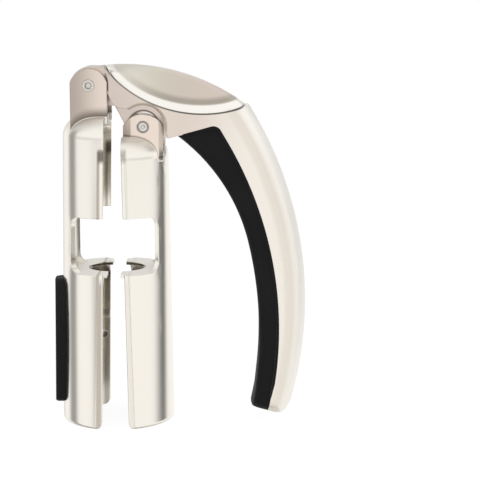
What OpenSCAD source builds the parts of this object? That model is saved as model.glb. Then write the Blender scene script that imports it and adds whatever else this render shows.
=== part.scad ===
// Lever-action opener for sparkling-wine corks.
// Two half shells close round the bottle neck, and a curved lever lifts the right one.
// Frame: +X to the lever, +Y away from the viewer, +Z up, origin on the neck axis at the rims.

/* [Shells] */

// Outside radius of the two half shells under their shoulders (mm)
shell_r = 21.2; // [20.7:0.1:23]
// How much wider the shells are at the rims (mm)
flare = 1.6; // [0.4:0.1:2.4]
// Wall thickness of the shells under their shoulders (mm)
wall = 2.7; // [2.4:0.1:3.4]
// Height of the left shell's roof (mm)
left_top = 124.5; // [123:0.5:130]
// How far the right shell's roof is below its hinge pin (mm)
right_roof_drop = 4.1; // [4.1:0.1:5.6]
// Half the gap between the shells at the rims (mm)
gap_low = 5.4; // [5:0.1:6.5]
// Half the gap between the shells at the left roof (mm)
gap_high = 3.2; // [3:0.1:4]
// Outside radius of the shells' shoulders (mm)
shoulder_r = 8.5; // [7.5:0.5:9]
// How far below the left roof the bevel down the split edges ends (mm)
bevel_drop = 12.5; // [11.5:0.5:18]
// Rounding of the rims' corners beside the gap (mm)
corner_r = 2.5; // [1:0.5:4]
// Width of the bevel down the split edges, under the shoulders (mm)
bevel_w = 1.9; // [1:0.1:3]
// Depth of the bevel down the split edges, under the shoulders (mm)
bevel_d = 1.2; // [0.6:0.1:1.8]

/* [Cork window and jaws] */

// Height of the window's sill, level with the top of the jaws (mm)
sill_z = 62.7; // [60:0.5:66]
// Height of the window opening (mm)
window_h = 22.4; // [20:0.4:25]
// Rounding of the window's corners (mm)
window_r = 4.5; // [2:0.5:6]
// Radius of the jaws' hole, round the cork's waist (mm)
jaw_hole_r = 11.6; // [11:0.1:13]
// Half the gap between the two jaws (mm)
jaw_gap = 2.8; // [2.5:0.1:4]
// Thickness of the jaws at their thin edge (mm)
jaw_edge = 1.4; // [1:0.1:2]
// Height of the rib that sits under the bottle's ring (mm)
rib_z = 38; // [34:0.5:42]
// How far the rib stands in from the bore (mm)
rib_in = 1.3; // [0.8:0.1:2]

/* [Hinges] */

// Left hinge pin, across from the neck axis (mm)
left_pin_x = -9.6; // [-10:0.1:-9.2]
// Left hinge pin, height above the left roof (mm)
left_pin_rise = 12.3; // [11.9:0.1:12.7]
// Right hinge pin, across from the neck axis (mm)
right_pin_x = 11.7; // [11.3:0.1:12.1]
// Right hinge pin, how far below the left one (mm)
pin_drop = 16.2; // [15.8:0.1:16.4]
// Radius of both hinge pins (mm)
pin_r = 2.25; // [2:0.05:2.5]
// Half the distance between the ears' outer faces (mm)
ear_out = 11.8; // [11.4:0.1:12.4]
// Half the thickness of the lever's tongue (mm)
tongue_half = 8; // [7.5:0.1:8.5]

/* [Lever] */

// Half the width of the lever (mm)
lever_half = 12.8; // [12.8:0.1:14]
// Wall thickness of the hollow handle (mm)
lever_wall = 2.8; // [2.2:0.1:3.4]
// How far the handle's rounded back stands out (mm)
back_sag = 4.2; // [3:0.1:5]
// Rounding between the handle's sides and its back (mm)
edge_r = 5; // [4:0.5:7]
// Rounding where the handle's end meets its back (mm)
end_r = 8.5; // [7:0.1:9]
// Rounding of the end's corners, seen from behind (mm)
end_round = 6; // [3:0.5:8]
// How far the soft grip is set in from the lever's sides (mm)
grip_inset = 0.8; // [0.4:0.1:1.6]
// Rounding of the grip's inner edges (mm)
grip_round = 3; // [1.5:0.5:4]
// Wall thickness of the crown cap (mm)
cap_wall = 2.4; // [2:0.1:3]

/* [Shell pad] */

// How far the soft pad stands out from the left shell (mm)
pad_out = 3.4; // [3:0.1:4.2]
// Height of the pad's lower end (mm)
pad_z = 6.4; // [5:0.2:9]
// Length of the pad (mm)
pad_len = 52; // [48:1:54]
// Half the width of the pad at its middle (mm)
pad_half = 9.2; // [8.6:0.1:10.4]
// Rounding of the pad's corners (mm)
pad_round = 6; // [3:0.5:7]

/* [Fits] */

// Radial running clearance at the hinges (mm)
run_gap = 0.05; // [0.02:0.01:0.09]
// Gap round a pressed, screwed or glued piece (mm)
seat_gap = 0.04; // [0.02:0.01:0.08]
// Gap between pieces that swing past each other (mm)
swing_gap = 0.4; // [0.3:0.05:0.6]

/* [Hidden] */

$fn = 96;
eps = 0.01;

// Heights that follow from the left roof
left_pin_z = left_top + left_pin_rise;
right_pin_z = left_pin_z - pin_drop;
right_top = right_pin_z - right_roof_drop;
bevel_top = left_top - bevel_drop;

// Shells
bore_r = shell_r - wall;
split_tilt = atan((gap_low - gap_high) / left_top);
rim_r = 1.6;
left_ear_half = 7.25;
left_ear_rise = 6.5;
left_arch_r = 7.6;
right_ear_half = 8;
right_ear_rise = 4.9;
right_arch_r = 9.2;
ear_bevel_w = 3.2;
ear_bevel_d = 2;
washer_t = 0.5;
ear_in = tongue_half + washer_t + 2 * run_gap;
window_turn = 23.5;
middle_r = shell_r + flare / 2;
window_x = 0.8 * middle_r;
window_y = 0.6 * middle_r;
rib_h = 3;
ear_clip_r = shell_r + 0.2;
stop_z = left_pin_z - 8.4;
stop_in = 1.6;
stop_w = 4.2;
stop_half = 5;

// Hinges
bush_r = pin_r + run_gap + 1.1;
washer_r = 5;
left_knuckle_r = 7.2;
right_knuckle_r = 7;
left_recess_r = left_ear_half + swing_gap + 0.25;
right_recess_r = right_ear_half + swing_gap + 0.25;
lip = 1;
swing_out = 14;

// Lever outlines, each a circle seen from the front: [x, z, radius]
ridge = [3.6, left_pin_z - 74.5, 82.5];
crease = [35.4, left_pin_z + 39.6, 50.7];
back = [-75.1, left_pin_z - 88.4, 151.8];
grip_line = [-85.3, left_pin_z - 98.2, 150.5];
palm_high = [-18.5, left_pin_z - 78.9, 73.9];
palm_low = [-99.3, left_pin_z - 97.8, 156.9];
palm_join = left_pin_z - 59.8;
end_at = [62.05, left_pin_z - 132.7];
end_lean = 14.5;
end_left = -8.2;
end_right = 8.05;
end_ease = 0.2;
head_low = [20.7, left_pin_z - 20.9];
head_corner = [40.6, left_pin_z - 16];
head_left = -6.5;
cap_left = -3.2;
cap_right = 52.2;

// Grip core and its screws
grip_half = lever_half - grip_inset;
grip_heel = 1.6;
grip_top_r = 2.8;
core_half = lever_half - lever_wall;
core_in = 3.2;
core_key_half = 6;
pocket_low = left_pin_z - 122.8;
pocket_high = left_pin_z - 28.8;
key_past = 4.5;
boss_r = 3.4;
boss_h = 3.5;
screw_r = 1.5;
screw_head_r = 2.8;
screw_head_h = 1.3;
grip_screw_len = 10.5;
grip_screw_up = 21;
grip_screw_down = -3;
key_high = grip_line[1] + grip_line[2] * sin(grip_screw_up) + key_past;
key_low = pocket_low + 3;

// Pad
pad_face_r = 42;
pad_side_r = 200;
pad_core_t = 1.3;
pad_core_half = 7;
pad_screw_up = pad_z + pad_len * 0.77;
pad_screw_down = pad_z + pad_len * 0.23;

// Metal and soft colours
nickel = [0.85, 0.81, 0.77];
steel = [0.72, 0.72, 0.72];
bronze = [0.78, 0.62, 0.36];
black = [0.13, 0.13, 0.14];

// A round bar along Y, centred on y = 0
module ybar(x, z, r, half) {
    translate([x, 0, z]) rotate([90, 0, 0]) cylinder(r = r, h = 2 * half, center = true);
}

// A round bar along Y from y0 to y1
module ybar_from(x, z, r, y0, y1) {
    translate([x, y1, z]) rotate([90, 0, 0]) cylinder(r = r, h = y1 - y0);
}

// A round bar along X from x0 to x1 at height z
module xbar(x0, x1, z, r0, r1) {
    translate([x0, 0, z]) rotate([0, 90, 0]) cylinder(r1 = r0, r2 = r1, h = x1 - x0);
}

// A ring with a round section about the Z axis
module ring(ring_r, section_r, z) {
    translate([0, 0, z]) rotate_extrude() translate([ring_r, 0]) circle(r = section_r);
}

// A profile of [across, along Y] turned about a lever outline's centre
module turned(outline, from, to) {
    translate([outline[0], 0, outline[1]])
        rotate([90, 0, 0])
            rotate([0, 0, from])
                rotate_extrude(angle = to - from, $fn = 180) children();
}

// A front-view polygon made into a plate along Y
module plate(points, half) {
    rotate([90, 0, 0]) linear_extrude(height = 2 * half, center = true) polygon(points);
}

// Everything on the left of a split plane that leans with the gap
module left_of_split(at_rim, tilt) {
    translate([-at_rim, 0, 0]) rotate([0, tilt, 0]) translate([-60, -60, -20]) cube([60, 120, 220]);
}

// The outside of a shell, as a full round post
module shell_outside(top) {
    cylinder(r = shell_r + flare - rim_r, h = rim_r + 1);
    ring(shell_r + flare - rim_r, rim_r, rim_r);
    translate([0, 0, rim_r]) cylinder(r1 = shell_r + flare, r2 = shell_r, h = top - shoulder_r - rim_r);
    ring(shell_r - shoulder_r, shoulder_r, top - shoulder_r);
    cylinder(r = shell_r - shoulder_r, h = top);
}

// The hollow of a shell, as a full round post
module shell_hollow(top) {
    translate([0, 0, -1]) cylinder(r = bore_r, h = top - shoulder_r + 1);
    ring(shell_r - shoulder_r, shoulder_r - wall, top - shoulder_r);
    translate([0, 0, top / 2]) cylinder(r = shell_r - shoulder_r, h = top / 2 - wall);
}

// The two ears of a hinge, arched over the pin
module ears(pin_x, pin_z, half, rise, arch_r, top) {
    thick = ear_out - ear_in;
    foot = top - shoulder_r - 1;
    for (side = [-1, 1]) translate([0, side * (ear_in + ear_out) / 2, 0]) intersection() {
        union() {
            ybar(pin_x, pin_z + rise - arch_r, arch_r, thick / 2);
            translate([pin_x - half - 1, -thick / 2, foot])
                cube([2 * half + 2, thick, pin_z + rise - arch_r - foot]);
        }
        translate([pin_x - half, -thick, foot]) cube([2 * half, 2 * thick, 40]);
    }
}

// One window cut, from the strut to the split
module window_cut(side) {
    translate([-window_x, side * window_y, sill_z])
        rotate([0, 0, side * window_turn])
            rotate([90, 0, 0])
                translate([0, 0, -15])
                    linear_extrude(height = 30) union() {
                        translate([window_r, 0]) square([40, window_h]);
                        translate([0, window_r]) square([40, window_h - 2 * window_r]);
                        translate([window_r, window_r]) circle(r = window_r);
                        translate([window_r, window_h - window_r]) circle(r = window_r);
                    }
}

// The bevel along one split edge, up to a height
module bevel_cut(side, high) {
    run = bevel_w / bevel_d;
    flat = sqrt(shell_r * shell_r - gap_high * gap_high) - bevel_d;
    translate([-gap_low, 0, 0]) rotate([0, split_tilt, 0]) translate([0, 0, -2])
        linear_extrude(height = high + 2)
            polygon([[run, side * (flat - 1)], [run, side * (flat + 6)], [-6 * run, side * (flat + 6)]]);
}

// Rounds the corner where the split edge meets the rim
module rim_corner_cut() {
    translate([-gap_low, 0, 0]) rotate([0, split_tilt, 0]) difference() {
        translate([-corner_r, -30, -2]) cube([corner_r + 2, 60, corner_r + 2]);
        ybar(-corner_r, corner_r, corner_r, 31);
    }
}

// A half shell on the left side; the right one is mirrored
module half_shell(top, pin_x, pin_z, ear_half, ear_rise, arch_r, bevel_end, hole_r) {
    difference() {
        union() {
            intersection() {
                shell_outside(top);
                left_of_split(gap_low, split_tilt);
            }
            intersection() {
                ears(pin_x, pin_z, ear_half, ear_rise, arch_r, top);
                cylinder(r = ear_clip_r, h = 200);
            }
        }
        shell_hollow(top);
        for (side = [-1, 1]) {
            window_cut(side);
            bevel_cut(side, bevel_end);
        }
        rim_corner_cut();
        ybar(pin_x, pin_z, hole_r, ear_out + 1);
    }
    intersection() {
        rotate_extrude() translate([jaw_hole_r, sill_z - jaw_edge])
            square([bore_r + 0.5 - jaw_hole_r, jaw_edge]);
        left_of_split(jaw_gap, 0);
    }
    intersection() {
        rotate_extrude() polygon([[jaw_hole_r + 1, sill_z - jaw_edge - eps], [jaw_hole_r + 1, sill_z - 0.2],
            [bore_r + 0.5, sill_z - 0.2], [bore_r + 0.5, sill_z - 5.5]]);
        left_of_split(gap_low, split_tilt);
    }
    intersection() {
        rotate_extrude() polygon([[bore_r + 0.5, rib_z], [bore_r - rib_in, rib_z],
            [bore_r - rib_in, rib_z + rib_h - rib_in], [bore_r + 0.5, rib_z + rib_h + 0.5]]);
        left_of_split(gap_low, split_tilt);
    }
}

module left_shell() {
    color(nickel) difference() {
        union() {
            half_shell(left_top, left_pin_x, left_pin_z, left_ear_half, left_ear_rise, left_arch_r,
                bevel_top, pin_r + seat_gap);
            // Stop that the lever's tongue rests on when it is down
            translate([left_pin_x + stop_in, -stop_half, left_top - wall / 2])
                cube([stop_w, 2 * stop_half, stop_z - left_top + wall / 2]);
        }
        for (z = [pad_screw_up, pad_screw_down]) {
            xbar(-shell_r - flare - 1, -bore_r + 2, z, screw_r + 0.2, screw_r + 0.2);
            xbar(-bore_r - screw_head_h - 0.2, -bore_r + 0.3, z, screw_r + 0.2, screw_head_r + 0.4);
        }
        // Blind core hole in the wall, seen through the gap
        translate([0, 0, 30.6]) rotate([0, 0, 113]) xbar(bore_r - 1, bore_r + 1.8, 0, 1.3, 1.3);
    }
}

module right_shell() {
    color(nickel) mirror([1, 0, 0]) difference() {
        half_shell(right_top, -right_pin_x, right_pin_z, right_ear_half, right_ear_rise, right_arch_r,
            bevel_top - 1.5, pin_r + seat_gap);
        // Bevel down the ears' edges beside the gap
        for (side = [-1, 1]) translate([right_ear_half - right_pin_x, side * ear_out, right_top])
            linear_extrude(height = 40)
                polygon([[eps, side * eps], [-ear_bevel_w, side * eps], [eps, -side * ear_bevel_d]]);
        // Slot in the roof for the lever's tongue
        translate([-right_pin_x - right_knuckle_r - 0.9, -ear_in, right_top - 11.5])
            cube([right_knuckle_r + 30, 2 * ear_in, 40]);
    }
}

// Section of the lever head: straight sides with a round top
module head_section() {
    intersection() {
        union() {
            translate([ridge[2] - lever_half, 0]) circle(r = lever_half);
            translate([ridge[2] - 50, -lever_half]) square([50 - lever_half, 2 * lever_half]);
        }
        translate([ridge[2] - 45, -20]) square([46, 40]);
    }
}

// Section of the handle: straight sides, rounded edges and a shallow round back
module handle_section(inset) {
    half = lever_half - inset;
    sag_r = (lever_half * lever_half + back_sag * back_sag) / (2 * back_sag);
    mid = back[2] - sag_r;
    edge_y = lever_half - edge_r;
    edge_x = sqrt(pow(sag_r - edge_r, 2) - edge_y * edge_y);
    translate([back[2] - 24, -half]) square([mid + edge_x - back[2] + 24, 2 * half]);
    for (side = [-1, 1]) translate([mid + edge_x, side * edge_y]) circle(r = edge_r - inset);
    translate([mid, 0]) intersection() {
        circle(r = sag_r - inset);
        polygon([[0, 0], [2 * edge_x, 2 * edge_y], [2 * edge_x, -2 * edge_y]]);
    }
}

// Section of the grip: soft inner corners
module grip_section(inner_r) {
    translate([inner_r, grip_round - grip_half]) square([22, 2 * (grip_half - grip_round)]);
    translate([inner_r + grip_round, -grip_half]) square([20, 2 * grip_half]);
    for (side = [-1, 1])
        translate([inner_r + grip_round, side * (grip_half - grip_round)]) circle(r = grip_round);
}

// Keeps everything above the handle's end, which is square to the handle and has round corners
module above_end() {
    inner = lever_half - end_round + end_ease;
    heel = end_left + grip_heel;
    turn = end_right - end_r;
    translate([end_at[0], 0, end_at[1]]) rotate([0, end_lean, 0]) intersection() {
        rotate([90, 0, 0]) linear_extrude(height = 40, center = true) union() {
            translate([heel, 0]) square([turn - heel, 170]);
            translate([heel, grip_heel]) circle(r = grip_heel);
            translate([turn, end_r]) circle(r = end_r);
            translate([-100, grip_heel]) square([100 + turn, 170]);
            translate([-100, end_r]) square([200, 170]);
        }
        translate([-100, 0, 0]) rotate([90, 0, 90]) linear_extrude(height = 200) union() {
            translate([-inner, 0]) square([2 * inner, 170]);
            translate([-20, end_round]) square([40, 170]);
            for (side = [-1, 1]) translate([side * inner, end_round]) circle(r = end_round);
        }
    }
}

// The head's lower edge, and the centre of the grip's round corner under it
head_slope = atan2(head_corner[1] - head_low[1], head_corner[0] - head_low[0]);
head_dir = [cos(head_slope), sin(head_slope)];
corner_from = head_low - (grip_top_r + seat_gap) * [-head_dir[1], head_dir[0]];
corner_rel = corner_from - [grip_line[0], grip_line[1]];
corner_reach = grip_line[2] - seat_gap - grip_top_r + 0.08;
corner_run = sqrt(pow(corner_rel * head_dir, 2) - corner_rel * corner_rel + pow(corner_reach, 2));
corner_c = corner_from + (corner_run - corner_rel * head_dir) * head_dir;

// Places at the grip's round corner, with +X along the head's lower edge
module at_grip_corner() {
    translate([corner_c[0], 0, corner_c[1]]) rotate([0, -head_slope, 0]) rotate([90, 0, 0]) children();
}

// Keeps everything under the head, grown by a gap, with the grip's corner rounded
module under_head(gap) {
    at_grip_corner() linear_extrude(height = 40, center = true) union() {
        translate([-100, -200]) square([100, 200 + grip_top_r + gap]);
        translate([-100, -200]) square([200, 200]);
        circle(r = grip_top_r + gap);
    }
}

// The room that the lever leaves for its grip
module grip_space() {
    intersection() {
        ybar(grip_line[0], grip_line[1], grip_line[2], 20);
        under_head(seat_gap);
    }
}

// The lever head, before the cap's seat is cut
module head_block() {
    intersection() {
        turned(ridge, 40, 110) head_section();
        translate([0, 0, left_pin_z])
            plate([[head_left, 13.2], [head_left, 2.2], [-1.5, -3.8], [-0.4, -6.8], [1.8, -8.6], [6, -9],
                [right_pin_x, -pin_drop], head_low - [0, left_pin_z],
                head_corner - [4, left_pin_z + 6], head_corner + [5, -9 - left_pin_z],
                [cap_right, -12.8], [cap_right, 13.2]], 20);
    }
}

// The handle, before it is hollowed
module handle_block() {
    intersection() {
        turned(back, -22, 40) handle_section(eps);
        above_end();
    }
}

// The tongue that joins the two hinges between the ears
module tongue() {
    ybar(left_pin_x, left_pin_z, left_knuckle_r, tongue_half);
    ybar(right_pin_x, right_pin_z, right_knuckle_r, tongue_half);
    plate([[left_pin_x, left_pin_z - left_knuckle_r], [0.5, left_pin_z - 8.1],
        [right_pin_x - right_knuckle_r, right_pin_z], [right_pin_x, right_pin_z - right_knuckle_r],
        head_low, [24, left_pin_z - 14.8], [20, left_pin_z - 0.8], [4, left_pin_z + 6.6],
        [left_pin_x, left_pin_z + left_knuckle_r]], tongue_half);
}

// The hollow of the handle, also the outside of the core that fills it
module pocket(gap) {
    intersection() {
        turned(back, -22, 40) handle_section(lever_wall + gap);
        translate([0, -20, pocket_low + gap]) cube([120, 40, pocket_high - pocket_low - 2 * gap]);
    }
}

// Places along the grip line, with +X pointing out through the back
module on_grip_line(angle) {
    translate([grip_line[0], 0, grip_line[1]]) rotate([0, -angle, 0])
        translate([grip_line[2], 0, 0]) children();
}

// A chamfer round the edge of a hinge recess
module recess_lip(x, z, r, side) {
    translate([x, side * (lever_half - lip - 0.2), z]) rotate([-90 * side, 0, 0])
        cylinder(r1 = r - 0.2, r2 = r + lip + 1, h = lip + 1.2);
}

module lever_body() {
    color(nickel) difference() {
        union() {
            difference() {
                union() {
                    head_block();
                    handle_block();
                }
                grip_space();
                for (side = [-1, 1]) translate([0, side * (tongue_half + 10), 0]) {
                    ybar(left_pin_x, left_pin_z, left_recess_r, 10);
                    ybar(right_pin_x, right_pin_z, right_recess_r, 10);
                }
                for (side = [-1, 1]) {
                    recess_lip(left_pin_x, left_pin_z, left_recess_r, side);
                    recess_lip(right_pin_x, right_pin_z, right_recess_r, side);
                }
                for (side = [-1, 1]) translate([0, side * (tongue_half + 10), 0]) {
                    // Room for the right ears when that shell swings out
                    translate([right_pin_x, 0, right_pin_z]) rotate([0, -swing_out - 1, 0])
                        translate([0, -10, -14]) cube([right_ear_half + swing_gap, 20, 14]);
                }
                difference() {
                    pocket(0);
                    for (angle = [grip_screw_up, grip_screw_down])
                        on_grip_line(angle) xbar(12 - boss_h - lever_wall, 30, 0, boss_r, boss_r);
                }
            }
            tongue();
        }
        ybar(crease[0], crease[1], crease[2], 20);
        ybar(left_pin_x, left_pin_z, bush_r + seat_gap, 10);
        ybar(right_pin_x, right_pin_z, bush_r + seat_gap, 10);
        for (angle = [grip_screw_up, grip_screw_down])
            on_grip_line(angle) xbar(-4, 8.4, 0, screw_r + seat_gap, screw_r + seat_gap);
    }
}

// Height of the ridge and of the crease over a point across
function ridge_z(x, inset) = ridge[1] + sqrt(pow(ridge[2] - inset, 2) - pow(x - ridge[0], 2));
function crease_z(x, drop) = crease[1] - sqrt(pow(crease[2] + drop, 2) - pow(x - crease[0], 2));

// A leaf-shaped vault between the crease and the ridge
module leaf(inset, drop, steps, around) {
    mid = (cap_left + cap_right) / 2;
    reach = (cap_right - cap_left) / 2 - inset * 2;
    rings = [for (i = [1 : steps - 1])
        let (s = -cos(180 * i / steps), x = mid + reach * s,
            half = (lever_half - inset) * sqrt(1 - pow(s, 8)),
            low = crease_z(x, drop), rise = max(0.05, ridge_z(x, inset) - low))
        [for (j = [0 : around]) let (t = -90 + 180 * j / around)
            [x, half * sin(t), low + rise * cos(t)]]];
    count = around + 1;
    last = (steps - 2) * count;
    polyhedron(points = [for (row = rings) for (p = row) p],
        faces = concat(
            [for (i = [0 : steps - 3]) for (j = [0 : around])
                let (a = i * count + j, b = i * count + (j + 1) % count) [a, b, b + count, a + count]],
            [[for (j = [around : -1 : 0]) j], [for (j = [0 : around]) last + j]]));
}

module crown_cap() {
    color(nickel) difference() {
        leaf(0, -seat_gap, 36, 24);
        leaf(cap_wall, 1, 24, 16);
    }
}

module lever_grip() {
    color(black) difference() {
        intersection() {
            union() {
                intersection() {
                    turned(palm_high, 5, 75) grip_section(palm_high[2]);
                    translate([0, -20, palm_join]) cube([120, 40, 60]);
                }
                intersection() {
                    turned(palm_low, -22, 22) grip_section(palm_low[2]);
                    translate([0, -20, -20]) cube([120, 40, palm_join + 20]);
                }
            }
            ybar(grip_line[0], grip_line[1], grip_line[2] - seat_gap, 20);
            under_head(0);
            above_end();
        }
        core_key(0);
    }
}

// The part of the core that keys into the grip
module core_key(gap) {
    intersection() {
        difference() {
            ybar(grip_line[0], grip_line[1], grip_line[2] + 2, core_key_half - gap);
            ybar(grip_line[0], grip_line[1], grip_line[2] - core_in + gap, 20);
        }
        translate([0, -20, key_low + gap]) cube([120, 40, key_high - key_low - 2 * gap]);
    }
}

module grip_core() {
    color(black) difference() {
        union() {
            difference() {
                pocket(seat_gap);
                ybar(grip_line[0], grip_line[1], grip_line[2] + seat_gap, 20);
            }
            core_key(seat_gap);
        }
        for (angle = [grip_screw_up, grip_screw_down]) on_grip_line(angle) {
            xbar(-core_in - 1, 8, 0, screw_r + 0.2, screw_r + 0.2);
            xbar(-core_in - 1, -core_in + 0.6, 0, screw_head_r + 0.2, screw_head_r + 0.2);
            xbar(-core_in + 0.5, -core_in + 0.8 + screw_head_h, 0, screw_head_r + 0.2, screw_r + 0.2);
            xbar(12 - boss_h - lever_wall - seat_gap, 30, 0, boss_r + seat_gap, boss_r + seat_gap);
        }
    }
}

// A countersunk screw along local X, head at the start
module screw(at, long) {
    xbar(at, at + screw_head_h, 0, screw_head_r, screw_r);
    xbar(at + screw_head_h - eps, at + long, 0, screw_r, screw_r);
}

module grip_screw_upper() {
    color(steel) on_grip_line(grip_screw_up) screw(0.65 - core_in, grip_screw_len);
}

module grip_screw_lower() {
    color(steel) on_grip_line(grip_screw_down) screw(0.65 - core_in, grip_screw_len);
}

// A hinge pin with a small chamfer at each end
module hinge_pin(x, z, half) {
    ybar(x, z, pin_r, half - 0.5);
    for (side = [-1, 1]) translate([x, side * (half - 0.5), z])
        rotate([-90 * side, 0, 0]) cylinder(r1 = pin_r, r2 = pin_r - 0.5, h = 0.5);
}

module left_hinge_pin() {
    color(steel) hinge_pin(left_pin_x, left_pin_z, ear_out + 0.1);
}

module right_hinge_pin() {
    color(steel) hinge_pin(right_pin_x, right_pin_z, ear_out + 0.3);
}

module hinge_bush(x, z) {
    difference() {
        ybar(x, z, bush_r, tongue_half - eps);
        ybar(x, z, pin_r + run_gap, tongue_half + 1);
    }
}

module left_hinge_bush() {
    color(bronze) hinge_bush(left_pin_x, left_pin_z);
}

module right_hinge_bush() {
    color(bronze) hinge_bush(right_pin_x, right_pin_z);
}

module washer(x, z, side) {
    y = side * (tongue_half + run_gap + washer_t / 2);
    difference() {
        ybar_from(x, z, washer_r, y - washer_t / 2, y + washer_t / 2);
        ybar(x, z, pin_r + run_gap, 20);
    }
}

module left_washer_front() {
    color(steel) washer(left_pin_x, left_pin_z, -1);
}

module left_washer_back() {
    color(steel) washer(left_pin_x, left_pin_z, 1);
}

module right_washer_front() {
    color(steel) washer(right_pin_x, right_pin_z, -1);
}

module right_washer_back() {
    color(steel) washer(right_pin_x, right_pin_z, 1);
}

// A wide round bar that bows one side of the pad
module pad_side(side) {
    translate([-40, side * (pad_side_r - pad_half), pad_z + pad_len / 2])
        rotate([0, 90, 0]) cylinder(r = pad_side_r, h = 36, $fn = 360);
}

// The outside of the left shell, grown by a gap, without its rim and shoulder
module shell_cone(extra) {
    translate([0, 0, rim_r])
        cylinder(r1 = shell_r + flare + extra, r2 = shell_r + extra, h = left_top - shoulder_r - rim_r);
}

// The pad's outline seen along X, as a bar
module pad_bar() {
    inner = pad_half - pad_round;
    translate([-40, 0, pad_z]) rotate([90, 0, 90]) linear_extrude(height = 36) union() {
        translate([-inner, 0]) square([2 * inner, pad_len]);
        translate([-pad_half, pad_round]) square([2 * pad_half, pad_len - 2 * pad_round]);
        for (y = [-inner, inner]) for (z = [pad_round, pad_len - pad_round])
            translate([y, z]) circle(r = pad_round);
    }
}

module shell_pad() {
    low_r = pad_face_r + flare * pad_z / left_top;
    color(black) difference() {
        intersection() {
            pad_bar();
            translate([pad_face_r - shell_r - flare - pad_out, 0, 0])
                cylinder(r1 = low_r, r2 = low_r - flare, h = left_top, $fn = 180);
            pad_side(-1);
            pad_side(1);
        }
        shell_cone(seat_gap);
        pad_core_block(seat_gap);
        for (z = [pad_screw_up, pad_screw_down])
            xbar(-shell_r - flare - pad_core_t - 0.5, -shell_r + 2, z, screw_r + 0.2, screw_r + 0.2);
    }
}

// The backing plate of the pad, curved with the shell
module pad_core_block(gap) {
    intersection() {
        shell_cone(pad_core_t + gap);
        translate([-40, -pad_core_half - gap, pad_z + 6 - gap])
            cube([36, 2 * (pad_core_half + gap), pad_len - 12 + 2 * gap]);
    }
}

module pad_core() {
    color(steel) difference() {
        pad_core_block(0);
        shell_cone(seat_gap);
        for (z = [pad_screw_up, pad_screw_down])
            xbar(-shell_r - flare - 3, -shell_r + 3, z, screw_r + seat_gap, screw_r + seat_gap);
    }
}

// A pad screw, driven outwards from the bore
module pad_screw(z) {
    translate([-bore_r, 0, z]) rotate([0, 0, 180]) screw(0.15, wall + flare + pad_core_t);
}

module pad_screw_upper() {
    color(steel) pad_screw(pad_screw_up);
}

module pad_screw_lower() {
    color(steel) pad_screw(pad_screw_down);
}

left_shell();
right_shell();
lever_body();
crown_cap();
lever_grip();
grip_core();
grip_screw_upper();
grip_screw_lower();
left_hinge_pin();
right_hinge_pin();
left_hinge_bush();
right_hinge_bush();
left_washer_front();
left_washer_back();
right_washer_front();
right_washer_back();
shell_pad();
pad_core();
pad_screw_upper();
pad_screw_lower();
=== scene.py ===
"""Looks of the lever-action cork opener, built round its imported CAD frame."""

import math

import bmesh
import bpy
from bpy.props import FloatProperty, FloatVectorProperty, IntProperty, PointerProperty
from mathutils import Matrix, Vector


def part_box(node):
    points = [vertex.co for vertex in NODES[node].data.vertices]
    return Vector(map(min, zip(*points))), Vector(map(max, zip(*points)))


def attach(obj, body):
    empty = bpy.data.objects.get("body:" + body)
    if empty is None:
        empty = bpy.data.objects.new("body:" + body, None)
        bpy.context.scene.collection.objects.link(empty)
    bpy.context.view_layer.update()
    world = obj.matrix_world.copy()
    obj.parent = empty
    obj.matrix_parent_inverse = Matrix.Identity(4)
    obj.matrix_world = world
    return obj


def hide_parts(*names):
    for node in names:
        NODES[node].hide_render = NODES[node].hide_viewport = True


bl_info = {
    "name": "Cork Opener",
    "version": (1, 0, 0),
    "blender": (4, 5, 0),
    "location": "3D View > Sidebar > Opener",
    "description": "Dresses the lever-action cork opener in its metal and rubber",
    "category": "Object",
}

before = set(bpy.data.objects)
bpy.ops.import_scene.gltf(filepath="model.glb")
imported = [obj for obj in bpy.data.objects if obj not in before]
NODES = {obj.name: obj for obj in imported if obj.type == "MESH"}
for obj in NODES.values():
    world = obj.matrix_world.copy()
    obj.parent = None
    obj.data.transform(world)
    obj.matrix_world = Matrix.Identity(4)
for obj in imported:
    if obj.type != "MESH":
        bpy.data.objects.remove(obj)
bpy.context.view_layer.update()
MM = 0.001

# Lever outlines, each a circle seen from the front: across, up, radius in millimetres
RIDGE = (3.6, 62.3, 82.5)
CREASE = (35.4, 176.4, 50.7)
BACK = (-75.1, 48.4, 151.8)
GRIP_LINE = (-85.3, 38.6, 150.5)
PALM_HIGH = (-18.5, 57.9, 73.9)
PALM_LOW = (-99.3, 39.0, 156.9)
# The height where the two palm circles meet
PALM_JOIN = 77.0

# The round groove in the lever above the right ear, painted as shade with a highlight and not cut, as such
# a circle
PAINTED_GROOVE = (11.7, 120.6, 6.25)

# The grip's inner face lies on the palm circles at a height, and slants against them above and below it
PALM_LEVEL = 46.0
PALM_SLANT = (0.0115, 0.016)

# Shells' shoulders: radius of the circle that they follow, and their rounding
SHOULDER = (12.7, 8.5)
# Tops of the two shoulders, and how far below them a shell's own hollow gets painted shade
LEFT_TOP = 124.5
RIGHT_TOP = 116.5
HOLLOW_BELOW = 6.5

# Grip: inner end of its top edge, its round top corner, and the slant of that edge in degrees
GRIP_TOP = (25.74, 117.1)
GRIP_CORNER = (39.54, 117.61, 2.8)
HEAD_SLOPE = 13.83
# Half width of the grip, its depth when laid flat, and how far it stays clear of the lever
GRIP_HALF = 12.0
GRIP_DEPTH = 8.0
GRIP_CLEAR = 0.05
# Where the flat section has its inner points, as shares of the half width
GRIP_POINTS = (-1, -0.6, -0.2, 0.2, 0.6, 1)
# Cuts round the top corner, down the handle and at its end, and how far apart the first ones are
TOP_CUTS = 8
SIDE_CUTS = 40
END_CUTS = 14
TOP_STEP = 0.45

# The section's points deeper than this share are its outer face, and the others stop there
GRIP_BACK = 0.9

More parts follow.
